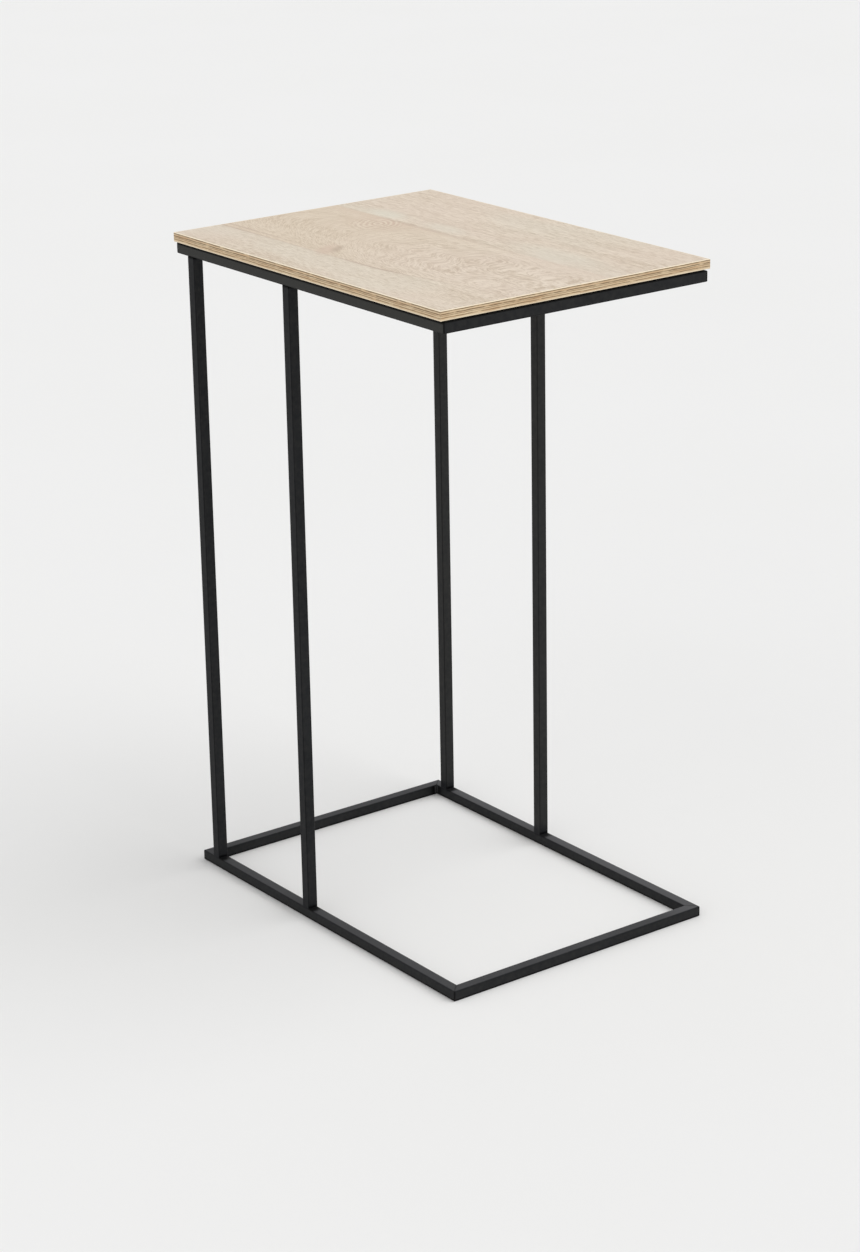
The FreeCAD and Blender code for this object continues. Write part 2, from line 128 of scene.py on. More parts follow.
class Finish:  # the nodes of one material, or of the world
    def __init__(self, owner):
        self.owner = owner
        owner.use_nodes = True
        self.tree = owner.node_tree
        self.tree.nodes.clear()

    def add(self, kind, settings, sockets, output=0):
        node = self.tree.nodes.new("ShaderNode" + kind)
        for name, setting in settings.items():
            setattr(node, name, setting)
        for key, item in sockets.items():
            if isinstance(item, Value):
                self.tree.links.new(item.socket, node.inputs[key])
            else:
                node.inputs[key].default_value = item
        return Value(self, node.outputs[output]) if node.outputs else None

    def place(self):  # x, y and z of the point in millimetres
        coordinate = self.add("TexCoord", {}, {}, "Object")
        parts = [self.add("SeparateXYZ", {}, {0: coordinate}, axis) for axis in "XYZ"]
        return [part * (1.0 / mm) for part in parts]

    def normal(self):  # how far a face looks along x, y and z
        normal = self.add("NewGeometry", {}, {}, "Normal")
        return [self.add("SeparateXYZ", {}, {0: normal}, axis) for axis in "XYZ"]

    def noise(self, x, y, z, detail=2.0, roughness=0.5):
        at = self.add("CombineXYZ", {}, {0: x, 1: y, 2: z})
        sockets = {"Vector": at, "Scale": 1.0, "Detail": detail, "Roughness": roughness}
        return self.add("TexNoise", {}, sockets, "Fac")

    def blend(self, factor, first, second):
        return self.add("Mix", {"data_type": "RGBA"}, {0: factor, 6: first, 7: second}, 2)

    def bump(self, height, relief):  # relief in mm
        return self.add("Bump", {}, {"Height": height, "Distance": relief * mm, "Strength": 1.0})

    def surface(self, colour, roughness, **sockets):
        named = {"Base Color": colour, "Roughness": roughness}
        named.update({key.replace("_", " "): item for key, item in sockets.items()})
        shader = self.add("BsdfPrincipled", {}, named)
        self.add("OutputMaterial", {}, {"Surface": shader})
        return self.owner


def newFinish(name):
    return Finish(bpy.data.materials.new(name))


boardLook = {
    "pale": tone(229, 215, 197),
    "dark": tone(183, 162, 136),
    "brown": tone(211, 193, 168),
    "pink": tone(221, 203, 187),
    "grey": tone(219, 214, 198),
    "blush": tone(204, 178, 158),
    "seam": tone(172, 143, 122),
    "joints": (-92.5, 34.5, 115.5),  # where one plank of the decor meets the next, mm
    "swing": 22.0,                   # how far the first joint runs off to the right, mm
    "plankStep": 7.3,                # keeps the grain of one plank apart from the next
    "core": tone(178, 158, 136),     # colour of the knot
    "knot": (-72.5, 44.5), "knotSize": (7.0, 10.0),
    "halo": (-80.5, 48.5), "haloSize": (15.0, 17.0),
    "arch": (10.0, -70.0, 0.0085),   # axis of the cathedral, where it starts and how narrow it is
    "bold": (5.0, 85.0), "boldSize": (60.0, 95.0),     # where its arches are drawn strongest
    "rosy": (14.0, 105.0), "rosySize": (26.0, 50.0),   # and where they are reddest
    "eye": (15.0, 106.0), "eyeSize": (22.0, 24.0),     # the closed oval near its tip
    "eyeLevel": 68.0, "eyeRings": 27.0,
    "greyPatches": ((135.0, 24.0, 11.0), (48.0, 30.0, 11.0), (-105.0, 66.0, 17.0)),
    "roughness": 0.5, "relief": 0.04,
}   # each grey patch: its place along the board, half its length and half its width in mm


def farFrom(x, y, middle, half, lean=0.0):  # 0 in the middle, 1 on the ellipse
    (middleX, middleY), (halfX, halfY) = middle, half
    sideways = (x - middleX + (y - middleY) * lean) / halfX
    lengthways = (y - middleY) / halfY
    return (sideways * sideways + lengthways * lengthways).calc("SQRT")


def makeOakTop(look):
    oak = newFinish("oakDecorTop")
    x, y = oak.place()[:2]
    drift = oak.noise(x * 0.008, y * 0.006, 3.1, detail=1.0) - 0.5
    first, second, third = look["joints"]
    low = 1.0 - y.within(-200.0, -20.0)          # the first joint swings to the right low down
    firstX = x - (low * look["swing"] + drift * 5.0)
    secondX = x - drift * 3.0
    thirdX = x - drift * 4.0
    inSecond = firstX > first
    inThird = secondX > second
    plank = (inSecond + inThird + (thirdX > third)) * look["plankStep"]
    figure = inSecond * (1.0 - inThird)           # 1 on the plank with the cathedral figure

    # straight grain: the ring coordinate is the place across the board, gently wavy
    wave = oak.noise(x * 0.014, y * 0.0060, plank + 11.0, detail=3.0) - 0.5
    curl = oak.noise(x * 0.075, y * 0.040, plank + 15.0, detail=4.0, roughness=0.6) - 0.5
    straight = x + wave * 22.0 + curl * 2.2

    # cathedral: nested arches with their tips towards the spine, running out into straight grain
    tipX, tipY, width = look["arch"]
    across = x - tipX + wave * 16.0
    side = across * (1.0 + (across > 0.0) * 0.8)
    rise = (y - tipY + wave * 30.0).calc("MAXIMUM", 0.0) * 0.36
    tilt = oak.noise(x * 0.024, y * 0.011, 27.0, detail=1.0) - 0.5
    arch = side * side * width + rise + across * 0.30 + curl * 3.4
    arch = arch + tilt * 40.0 * (1.0 - y.within(-10.0, 90.0))
    knot = 1.0 - farFrom(x, y, look["knot"], look["knotSize"], lean=-0.9).within(0.2, 1.4)
    halo = 1.0 - farFrom(x, y, look["halo"], look["haloSize"], lean=-0.8).within(0.2, 1.3)
    eyeFar = farFrom(x, y, look["eye"], look["eyeSize"], lean=-0.35) + curl * 0.30
    eye = 1.0 - eyeFar.within(0.7, 1.6)
    arch = arch + eye * (look["eyeLevel"] + eyeFar * 6.0 + curl * 2.0 - arch)
    ring = straight + figure * (arch - straight) + knot * 1.5
    fine = straight + figure * (ring - straight) * 0.8

    broad = oak.noise(straight * 0.06, y * 0.002, plank + 2.0, detail=1.0)
    streak = oak.noise(straight * 0.30, y * 0.013, plank + 5.0, detail=2.0)
    line = oak.noise(ring * (0.75 + figure * 1.15), y * 0.045, plank + 9.0,
                     detail=3.0, roughness=0.6)
    hair = oak.noise(fine * 1.6, y * 0.12, plank + 14.0, detail=2.0, roughness=0.6)
    pores = oak.noise(straight * 3.0, y * 0.12, plank + 20.0, detail=2.0).within(0.58, 0.72)
    flecks = oak.noise(x * 0.16 + y * 0.07 + curl, y * 0.36 + curl * 2.0, plank + 33.0, detail=3.0)
    flecks = flecks.within(0.54, 0.70) * figure * y.within(-160.0, -20.0)
    ovals = (eyeFar * look["eyeRings"]).calc("SINE") * eye * figure

    bold = figure * (1.0 - farFrom(x, y, look["bold"], look["boldSize"]).within(0.2, 1.2))
    calm = figure * (1.0 - y.within(-130.0, -10.0)) * 0.45
    shade = (streak - 0.5) * (0.70 - figure * 0.25) + (line - 0.5) * (1.25 + bold * 0.8 - calm)
    shade = shade + (hair - 0.5) * 3.1 + (broad - 0.5) * 0.6 + ovals * 0.40
    shade = (shade + 0.35).clamp()
    colour = oak.blend(shade, look["pale"], look["dark"])
    warm = oak.noise(x * 0.012, y * 0.005, 40.0, detail=2.0).within(0.42, 0.66)
    colour = oak.blend(warm * 0.35, colour, look["pink"])
    colour = oak.blend(figure * y.within(-90.0, 120.0) * 0.46, colour, look["brown"])
    blush = figure * (1.0 - farFrom(x, y, look["rosy"], look["rosySize"]).within(0.3, 1.2))
    blush = blush + figure * secondX.line(second - 4.0, 15.0) * y.within(0.0, 80.0) * 0.6
    colour = oak.blend(blush * (0.10 + line * 0.36 + ovals * 0.32), colour, look["blush"])
    cool = oak.noise(x * 0.014, y * 0.006, 60.0, detail=1.0).within(0.46, 0.68) * 0.3
    for patchY, long, wide in look["greyPatches"]:
        patchFar = farFrom(x, y, (second + wide + 2.0, patchY), (wide, long), lean=-0.05)
        cool = cool + (1.0 - patchFar.within(0.3, 1.5)) * 0.42
    colour = oak.blend(cool * (1.0 - figure), colour, look["grey"])
    colour = oak.blend(pores * 0.40, colour, look["dark"])
    colour = oak.blend(flecks * 0.20, colour, look["pale"])
    colour = oak.blend(halo * 0.55, colour, look["blush"])
    colour = oak.blend(knot * 0.66, colour, look["core"])

    # the joints between the planks of the decor, each strong only along a part of its length
    broken = oak.noise(x * 0.05, y * 0.045, 71.0, detail=2.0).within(0.30, 0.62)
    firstStrong = 0.16 + 0.44 * (1.0 - abs(y + 35.0).within(15.0, 70.0))
    firstStrong = firstStrong + 0.30 * y.within(80.0, 150.0)
    firstSeam = firstX.line(first, 2.0) * firstStrong
    firstSeam = firstSeam + firstX.line(first + 7.0, 2.6) * y.within(60.0, 170.0) * 0.35
    laterStrong = 0.04 + y.within(-60.0, 60.0) * (1.0 - y.within(95.0, 150.0)) * 0.22
    laterSeam = (secondX.line(second - 1.0, 4.5) + 0.30 * thirdX.line(third, 2.2)) * laterStrong
    seam = (firstSeam + laterSeam) * (0.35 + line * 0.6 + broken * 0.5)
    colour = oak.blend(seam.clamp(), colour, look["seam"])

    height = line * 0.3 + hair * 0.3 - pores * 1.0
    normal = oak.bump(height, look["relief"])
    roughness = look["roughness"] + pores * 0.14 + (line - 0.5) * 0.10
    return oak.surface(colour, roughness, Normal=normal, IOR=1.45)


bandLook = {
    "tan": tone(223, 201, 165),
    "dark": tone(119, 92, 62),
    "red": tone(203, 168, 127),
    "rim": tone(252, 240, 216),
    "lines": ((7.55, 0.30, 1.0), (5.5, 0.32, 1.05), (4.2, 0.20, 0.80), (2.5, 0.26, 0.90)),
    "endRim": 0.76, "sideRim": 0.88,  # how strong the painted highlight rim is on the short and long sides
    "roughness": 0.5, "relief": 0.04,
}   # each line: height over the underside and half width in mm, and strength


def makeOakBand(look, name, alongX):
    band = newFinish(name)
    x, y, z = band.place()
    along = x if alongX else y
    seed = 17.0 if alongX else 5.0
    level = z - boardUnderside
    sway = band.noise(along * 0.020, seed, 0.0, detail=2.0) - 0.5
    ripple = band.noise(along * 0.11, seed + 4.0, level * 0.25, detail=2.0) - 0.5
    height = level + sway * 1.4 + ripple * 0.6
    grain = band.noise(height * 1.1, along * 0.03, seed, detail=3.0, roughness=0.6)
    hair = band.noise(height * 3.2, along * 0.12, seed + 8.0, detail=3.0, roughness=0.6)
    colour = band.blend(grain.within(0.34, 0.60), look["red"], look["tan"])
    colour = band.blend(hair.within(0.50, 0.66) * 0.50, colour, look["dark"])
    streaks = 0.0
    for index, (place, width, strength) in enumerate(look["lines"]):
        fade = band.noise(along * 0.08, seed + 20.0 + index * 5.0, 0.0, detail=3.0)
        fade = fade.within(0.30, 0.52)
        streaks = height.line(place, width * 2.0) * (fade * strength) + streaks
    colour = band.blend(streaks.clamp(), colour, look["dark"])
    # painted highlight: a pale rim along the band's top arris and a weaker, wider one along its
    # bottom
    rim = level.within(board - 0.60, board - 0.40)
    rim = rim + (1.0 - level.within(0.9, 1.2)) * 0.6
    colour = band.blend(rim * look["endRim" if alongX else "sideRim"], colour, look["rim"])
    normal = band.bump(hair * 0.6 - streaks * 0.5, look["relief"])
    roughness = look["roughness"] + (grain - 0.5) * 0.12
    return band.surface(colour, roughness, Normal=normal, IOR=1.45)


frameLook = {
    "coat": tone(31, 32, 34),
    "dust": tone(42, 43, 45),
    # colour of the painted light on the top ring, the legs and the base ring
    "paintedLightMottle": tone(51, 51, 50),
    "worn": tone(56, 56, 56),
    "litTopFaces": tone(84, 84, 86),
    "litRingSide": tone(57, 57, 55),
    # near black, for the painted shade and for the mitre seams
    "deep": tone(2, 2, 2),
    "roughness": 0.45, "gloss": 0.05, "relief": 0.06,
    "feet": legStations,
    "fatWeld": (cornerX, cornerY),   # the base's corner with the fattest weld
}


def makePowderCoat(look):
    coat = newFinish("blackPowderCoat")
    x, y, z = coat.place()
    cloud = coat.noise(x * 0.02, y * 0.02, z * 0.02, detail=3.0)
    peel = coat.noise(x * 1.1, y * 1.1, z * 1.1, detail=2.0)
    grit = coat.noise(x * 5.5, y * 5.5, z * 5.5, detail=2.0)
    leftward, endward, upward = coat.normal()
    square = abs(leftward).calc("MAXIMUM", abs(endward)).calc("MAXIMUM", abs(upward))
    edge = 1.0 - square.within(0.80, 0.985)       # 1 on the rounded edges of the tube
    mottle = coat.noise(x * 0.25, y * 0.25, z * 0.25, detail=4.0, roughness=0.6)
    rub = mottle.within(0.50, 0.72)
    colour = coat.blend(cloud.within(0.35, 0.70) * 0.35, look["coat"], look["dust"])
    colour = coat.blend(grit.within(0.62, 0.80) * 0.25, colour, look["dust"])
    onRing = z.within(ringUnderside - 1.0, ringUnderside + 1.0)
    onLeg = z.within(12.0, 22.0) * (1.0 - onRing)
    leftSide = 1.0 - leftward.within(-0.98, -0.8)
    # painted light with random mottle: the top ring lighter, most on its left faces, the legs
    # lighter towards +x and the base ring lighter
    paintedLightMottle = onRing * (0.35 + leftSide)
    paintedLightMottle = paintedLightMottle + onLeg * (0.22 + x.within(-100.0, 100.0) * 0.42)
    paintedLightMottle = paintedLightMottle + (1.0 - z.within(7.0, 10.0)) * 0.35
    paintedLightMottle = paintedLightMottle + (mottle - 0.5) * 1.3
    colour = coat.blend(paintedLightMottle.clamp(), colour, look["paintedLightMottle"])
    # painted light: the top ring's faces that look towards -x are made lighter
    colour = coat.blend(onRing * leftSide * 0.8, colour, look["litRingSide"])
    colour = coat.blend(edge * rub * 0.3, colour, look["worn"])
    # painted light: upward faces made lighter, patchy with the cloud noise and most on the
    # right-hand tubes
    litTopFaces = upward.within(0.55, 0.98) * (0.6 + cloud * 0.45 + x.within(90.0, 132.0) * 0.6)
    colour = coat.blend(litTopFaces * 0.6, colour, look["litTopFaces"])
    # painted shade: the coat is made near black just under the board, on rounded edges that don't
    # face up, around the fattest weld, along the top ring's underside, next to the floor and at
    # the legs' feet
    downward = 1.0 - upward.within(0.1, 0.5)
    paintedShade = (z + leftSide * 0.9).within(ringTop - 1.4, ringTop - 0.6)
    weldFar = farFrom(x, y, look["fatWeld"], (1.0, 1.0)) + z.within(12.0, 14.0) * 20.0
    paintedShade = paintedShade + edge * downward * 0.5 * weldFar.within(2.3, 2.8)
    shadeAroundWeld = weldFar.within(2.5, 3.0) * (1.0 - weldFar.within(4.0, 9.0))
    paintedShade = paintedShade + shadeAroundWeld * downward * 0.8
    paintedShade = paintedShade + z.line(ringUnderside - 0.3, 1.7)
    paintedShade = paintedShade + (1.0 - z.within(1.2, 2.0)) * downward
    legFoot = z.line(tube + 0.9, 2.2)
    paintedShade = paintedShade + legFoot * downward * (1.0 - leftSide) * 0.8
    # painted shadow of each leg on the base's top, beside its foot
    for foot in look["feet"]:
        paintedShade = paintedShade + y.line(foot - 8.0, 7.0) * (1.0 - downward) * 0.9
    colour = coat.blend(paintedShade.clamp() * 0.97, colour, look["deep"])
    roughness = look["roughness"] + (cloud - 0.5) * 0.10 + (grit - 0.5) * 0.12 - edge * rub * 0.08
    # ground weld at each mitre of the rings
    mitre = (abs(y) - abs(x)).line(tubeY - tubeX, 1.5) * (1.0 - upward.within(0.3, 0.7) * 0.45)
    normal = coat.bump(peel * 0.7 + grit * 0.45 - mitre * 1.2, look["relief"])
    colour = coat.blend(mitre * 0.85, colour, look["deep"])
    gloss = look["gloss"]
    return coat.surface(colour, roughness, Normal=normal, IOR=1.5, Specular_IOR_Level=gloss)


zincLook = {
    "name": "zincPlate",
    "light": tone(196, 198, 201),
    "dark": tone(150, 152, 156),
    "roughness": 0.38, "relief": 0.03,
}
blackZincLook = {
    "name": "blackZinc",
    "light": tone(70, 70, 72),
    "dark": tone(40, 40, 42),
    "roughness": 0.42, "relief": 0.03,
}


def makePlated(look):
    metal = newFinish(look["name"])
    x, y, z = metal.place()
    spot = metal.noise(x * 0.6, y * 0.6, z * 0.6, detail=3.0)
    lathe = metal.noise(x * 0.4, y * 0.4, z * 7.0, detail=2.0)
    bright = (spot * 0.7 + lathe * 0.5 - 0.1).clamp()
    colour = metal.blend(bright, look["dark"], look["light"])
    normal = metal.bump(lathe, look["relief"])
    roughness = look["roughness"] + (spot - 0.5) * 0.15
    return metal.surface(colour, roughness, Normal=normal, Metallic=1.0)


nylonLook = {
    "light": tone(34, 34, 35),
    "dark": tone(20, 20, 21),
    "roughness": 0.55, "relief": 0.02,
}


def makeNylon(look):
    nylon = newFinish("blackNylon")
    x, y, z = nylon.place()
    cloud = nylon.noise(x * 0.8, y * 0.8, z * 0.8, detail=3.0)
    grain = nylon.noise(x * 6.0, y * 6.0, z * 6.0, detail=2.0)
    colour = nylon.blend(cloud, look["dark"], look["light"])
    normal = nylon.bump(grain, look["relief"])
    return nylon.surface(colour, look["roughness"] + (grain - 0.5) * 0.15, Normal=normal)


backingLook = {
    "light": tone(208, 198, 180),
    "dark": tone(196, 184, 164),
    "fibre": tone(180, 166, 144),
    "roughness": 0.62, "relief": 0.05,
}


def makeBacking(look):
    sheet = newFinish("backingPaper")
    x, y = sheet.place()[:2]
    cloud = sheet.noise(x * 0.03, y * 0.03, 1.0, detail=3.0)
    fibre = sheet.noise(x * 1.2, y * 0.25, 5.0, detail=3.0, roughness=0.65)
    colour = sheet.blend(cloud, look["dark"], look["light"])
    colour = sheet.blend(fibre.within(0.5, 0.7) * 0.4, colour, look["fibre"])
    normal = sheet.bump(fibre, look["relief"])
    return sheet.surface(colour, look["roughness"] + (fibre - 0.5) * 0.15, Normal=normal)


chipLook = {
    "light": tone(196, 166, 124),
    "dark": tone(150, 116, 78),
    "speck": tone(110, 82, 54),
    "roughness": 0.8, "relief": 0.3,
}


def makeParticles(look):
    chips = newFinish("pressedChips")
    x, y, z = chips.place()
    at = chips.add("CombineXYZ", {}, {0: x * 0.35, 1: y * 0.35, 2: z * 1.2})
    cell = chips.add("TexVoronoi", {}, {"Vector": at, "Scale": 1.0}, "Color")
    pick = chips.add("SeparateColor", {}, {0: cell}, 0)
    fine = chips.noise(x * 1.5, y * 1.5, z * 1.5, detail=3.0)
    colour = chips.blend(pick, look["light"], look["dark"])
    colour = chips.blend(fine.within(0.55, 0.75) * 0.5, colour, look["speck"])
    normal = chips.bump(fine + pick * 0.5, look["relief"])
    return chips.surface(colour, look["roughness"] + (fine - 0.5) * 0.1, Normal=normal)


finishes = {
    "frame_black": makePowderCoat(frameLook),
    "zinc_steel": makePlated(zincLook),
    "blackened_bolt": makePlated(blackZincLook),
    "black_nylon": makeNylon(nylonLook),
    "oak_laminate": makeOakTop(boardLook),
    "backing_sheet": makeBacking(backingLook),
    "particleboard": makeParticles(chipLook),
}
sideBand = makeOakBand(bandLook, "oakBandSide", alongX=False)
endBand = makeOakBand(bandLook, "oakBandEnd", alongX=True)
bandFinish = {"left_edge_band": sideBand, "right_edge_band": sideBand,
              "open_end_edge_band": endBand, "spine_edge_band": endBand}

for part in frame["record"]["subparts"]:
    node = nodes[part["node"]]
    finish = bandFinish.get(part["node"]) or finishes[part["material_slot"]]
    if not node.material_slots:
        node.data.materials.append(finish)
    for slot in node.material_slots:
        slot.material = finish
print("finishes made:", len(bpy.data.materials))


# modelling by hand: a rim is picked in edit mode and drawn along a profile, as on a lathe
def choose(piece, kind, test):
    bpy.ops.mesh.select_mode(type=kind)
    bpy.ops.mesh.select_all(action="DESELECT")
    shape = bmesh.from_edit_mesh(piece.data)
    for item in {"VERT": shape.verts, "EDGE": shape.edges, "FACE": shape.faces}[kind]:
        corners = [item] if kind == "VERT" else item.verts
        middle = sum((corner.co for corner in corners), Vector()) / len(corners) / mm
        if test(middle):
            item.select_set(True)
    shape.select_flush_mode()
    bmesh.update_edit_mesh(piece.data)


def chooseFirstRim(piece, radius):  # the rim at height 0 that a head was drawn up from
    choose(piece, "EDGE", lambda place: abs(place.z) < near and place.xy.length > radius - 0.1)


def turnRim(rim, profile):  # rim and profile are (radius, height) in mm
    radius, height = rim
    for nextRadius, nextHeight in profile:
        bpy.ops.mesh.extrude_region_move(
            TRANSFORM_OT_translate={"value": (0.0, 0.0, (nextHeight - height) * mm)})
        share = nextRadius / radius
        bpy.ops.transform.resize(value=(share, share, 1.0), center_override=(0.0, 0.0, 0.0))
        radius, height = nextRadius, nextHeight


def newRim(name, sides, radius, height):
    bpy.ops.object.select_all(action="DESELECT")
    bpy.ops.mesh.primitive_circle_add(vertices=sides, radius=radius * mm, fill_type="NOTHING",
                                      location=(0.0, 0.0, 0.0))
    piece = bpy.context.object
    piece.name = name
    bpy.ops.object.mode_set(mode="EDIT")
    bpy.ops.mesh.select_mode(type="EDGE")
    bpy.ops.mesh.select_all(action="SELECT")
    bpy.ops.transform.translate(value=(0.0, 0.0, height * mm))
    return piece


def closeUp(smoothAngle):  # out of edit mode, with clean outward faces
    bpy.ops.mesh.select_all(action="SELECT")
    bpy.ops.mesh.remove_doubles(threshold=0.001 * mm)
    bpy.ops.mesh.normals_make_consistent(inside=False)
    bpy.ops.object.mode_set(mode="OBJECT")
    bpy.ops.object.shade_smooth_by_angle(angle=math.radians(smoothAngle))


def sink(piece, cutter):  # the cutter's shape is taken out of the piece
    bpy.ops.object.select_all(action="DESELECT")
    piece.select_set(True)
    bpy.context.view_layer.objects.active = piece
    cut = piece.modifiers.new("recess", "BOOLEAN")
    cut.operation = "DIFFERENCE"
    cut.solver = "EXACT"
    cut.object = cutter
    bpy.ops.object.modifier_apply(modifier=cut.name)
    bpy.data.objects.remove(cutter)


def setOut(pattern, name, places, slot, node):  # one copy at each (x, y, z, turn, flip, girth)
    copies = []
    for x, y, z, turn, flip, girth in places:
        bpy.ops.object.select_all(action="DESELECT")
        pattern.select_set(True)
        bpy.context.view_layer.objects.active = pattern
        bpy.ops.object.duplicate(linked=False)
        copy = bpy.context.object
        copy.location = (x * mm, y * mm, z * mm)
        copy.rotation_euler = (math.radians(flip), 0.0, math.radians(turn))
        copy.scale = (girth, girth, 1.0)
        bpy.ops.object.transform_apply(location=True, rotation=True, scale=True)
        copies.append(copy)
    bpy.ops.object.select_all(action="DESELECT")
    for copy in copies:
        copy.select_set(True)
    bpy.context.view_layer.objects.active = copies[0]
    bpy.ops.object.join()
    piece = bpy.context.object
    piece.name = name
    piece.data.materials.clear()
    piece.data.materials.append(finishes[slot])
    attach(piece, "root")
    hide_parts(node)


boltLook = {
    "sides": 48,
    "headRadius": 3.5, "headHeight": 4.0, "chamfer": 0.4,
    "gripStart": 0.3, "grip": 0.12,     # where the head's grip lines start, and their depth
    "socketAcross": 3.0, "socketDepth": 2.0, "socketCone": 0.5, "lead": 0.15,
    "threadRadius": 2.0, "threadDepth": 0.38, "pitch": 0.7, "length": 12.0, "tipChamfer": 0.5,
    "smooth": 30.0,                     # edges flatter than this, in degrees, are smoothed
    "rows": (-tubeX, tubeX), "stations": legStations,
    "topSeat": ringUnderside + wall, "baseSeat": tube - wall,
}


def threadProfile(look, tip):  # crest and root in turn, from under the head down to the tip
    crest, root = look["threadRadius"], look["threadRadius"] - look["threadDepth"]
    height = -0.2                       # a plain stretch under the head
    profile = [(crest, height)]
    while height - look["pitch"] > tip:
        height -= look["pitch"] / 2
        profile.append((root, height))
        height -= look["pitch"] / 2
        profile.append((crest, height))
    return profile


def makeBolt(look):
    head, top, chamfer = look["headRadius"], look["headHeight"], look["chamfer"]
    bolt = newRim("legBoltPattern", look["sides"], head, 0.0)
    turnRim((head, 0.0), [(head, look["gripStart"]), (head, top - chamfer),
                          (head - chamfer, top), (pinch, top)])
    bpy.ops.mesh.merge(type="CENTER")
    # grip lines: every other upright of the head is pressed in
    step = 2.0 * math.pi / look["sides"]
    low, high = look["gripStart"] - 0.05, top - chamfer + 0.05

    def isGrip(place):
        turn = math.atan2(place.y, place.x) / step
        onSide = place.xy.length > head - 0.1 and low < place.z < high
        return onSide and round(turn) % 2 == 0
    choose(bolt, "VERT", isGrip)
    share = (head - look["grip"]) / head
    bpy.ops.transform.resize(value=(share, share, 1.0), center_override=(0.0, 0.0, 0.0))

    # underside of the head, thread and chamfered tip
    chooseFirstRim(bolt, head)
    tip = -look["length"]
    profile = [(look["threadRadius"], 0.0)] + threadProfile(look, tip + look["tipChamfer"])
    profile += [(look["threadRadius"] - look["tipChamfer"], tip), (pinch, tip)]
    turnRim((head, 0.0), profile)
    bpy.ops.mesh.merge(type="CENTER")
    closeUp(look["smooth"])

    # hexagon socket with a drilled cone at its bottom and a small lead-in at its mouth
    corner = look["socketAcross"] / math.sqrt(3.0)
    bottom = top - look["socketDepth"]
    key = newRim("socketCutter", 6, pinch, bottom - look["socketCone"])
    bpy.ops.mesh.edge_face_add()
    profile = [(corner, bottom), (corner, top - look["lead"]), (corner + look["lead"], top),
               (corner + look["lead"], top + clear)]
    turnRim((pinch, bottom - look["socketCone"]), profile)
    closeUp(look["smooth"])
    sink(bolt, key)
    return bolt


bolt = makeBolt(boltLook)
for name, node, seat, turn, flip in (
        ("topLegBolts", "top_leg_bolts", boltLook["topSeat"], 15.0, 0.0),
        ("baseLegBolts", "base_leg_bolts", boltLook["baseSeat"], 40.0, 180.0)):
    places = [(x, y, seat, turn, flip, 1.0)
              for x in boltLook["rows"] for y in boltLook["stations"]]
    setOut(bolt, name, places, "blackened_bolt", node)
bpy.data.objects.remove(bolt)
print("leg bolts made")


screwLook = {
    "sides": 40,
    "headRadius": 3.5, "headHeight": 2.2, "rounding": 1.4, "roundSteps": 6,
    "recessSpan": 3.6, "recessWidth": 0.9, "recessDepth": 1.3, "recessTaper": 0.62,
    "threadRadius": 1.75, "threadDepth": 0.45, "pitch": 1.3, "length": 8.0, "tipLength": 2.5,
    "point": (0.75, 1.1),               # share of the core's radius, and height over the tip
    "smooth": 35.0,
    "seat": ringTop - wall,
    "endMargin": 60.0,                  # from the ends of the side tubes to their screws
}


def makeScrew(look):
    head, top, rounding = look["headRadius"], look["headHeight"], look["rounding"]
    screw = newRim("boardScrewPattern", look["sides"], head, 0.0)
    profile = []
    for index in range(look["roundSteps"] + 1):      # quarter round of the pan head
        angle = math.radians(90.0 * index / look["roundSteps"])
        profile.append((head - rounding + rounding * math.cos(angle),
                        top - rounding + rounding * math.sin(angle)))
    turnRim((head, 0.0), profile + [(pinch, top)])
    bpy.ops.mesh.merge(type="CENTER")
    chooseFirstRim(screw, head)
    tip = -look["length"]
    core = look["threadRadius"] - look["threadDepth"]
    pointShare, pointHeight = look["point"]
    profile = [(look["threadRadius"], 0.0)] + threadProfile(look, tip + look["tipLength"])
    turnRim((head, 0.0), profile + [(core * pointShare, tip + pointHeight), (pinch, tip)])
    bpy.ops.mesh.merge(type="CENTER")
    closeUp(look["smooth"])

    # cross recess: two tapered bars cut out of the head
    for turn in (0.0, 90.0):
        bpy.ops.object.select_all(action="DESELECT")
        bpy.ops.mesh.primitive_cube_add(size=1.0, location=(0.0, 0.0, 0.0))
        bar = bpy.context.object
        bar.scale = [size * mm for size in (look["recessSpan"], look["recessWidth"],
                                            2 * look["recessDepth"])]
        bar.rotation_euler = (0.0, 0.0, math.radians(turn))
        bar.location = (0.0, 0.0, top * mm)
        bpy.ops.object.transform_apply(location=True, rotation=True, scale=True)
        bpy.ops.object.mode_set(mode="EDIT")
        choose(bar, "FACE", lambda place: place.z < top - look["recessDepth"] + 0.05)
        share = look["recessTaper"]
        bpy.ops.transform.resize(value=(share, share, 1.0), center_override=(0.0, 0.0, 0.0))
        bpy.ops.object.mode_set(mode="OBJECT")
        sink(screw, bar)
    return screw


screw = makeScrew(screwLook)
screwY = ringHigh[1] - screwLook["endMargin"]
screwPlaces = [(x, y) for x in (tubeX, -tubeX) for y in (screwY, -screwY)]
screwPlaces += [(0.0, tubeY), (0.0, -tubeY)]
places = [(x, y, screwLook["seat"], 20.0 + 7.0 * index, 180.0, 1.0)
          for index, (x, y) in enumerate(screwPlaces)]
setOut(screw, "boardScrews", places, "blackened_bolt", "board_screws")
bpy.data.objects.remove(screw)
print("board screws made")


beadLook = {
    "sides": 32, "radius": 1.2, "height": 7.8,
    "ripples": 13, "dip": 0.16, "uneven": 0.07, "taper": 0.55, "endShare": 0.75,
    "ripple": ((1.0, 0.12), (0.0, 0.4), (0.0, 0.65), (1.0, 0.95)),
    "smooth": 40.0,
    "middles": (tube / 2, ringTop - tube / 2),
    "fatGirth": 2.1,                 # of the weld in the base's far corner
}   # each point of a ripple: its share of the dip, and how far along the ripple it stands


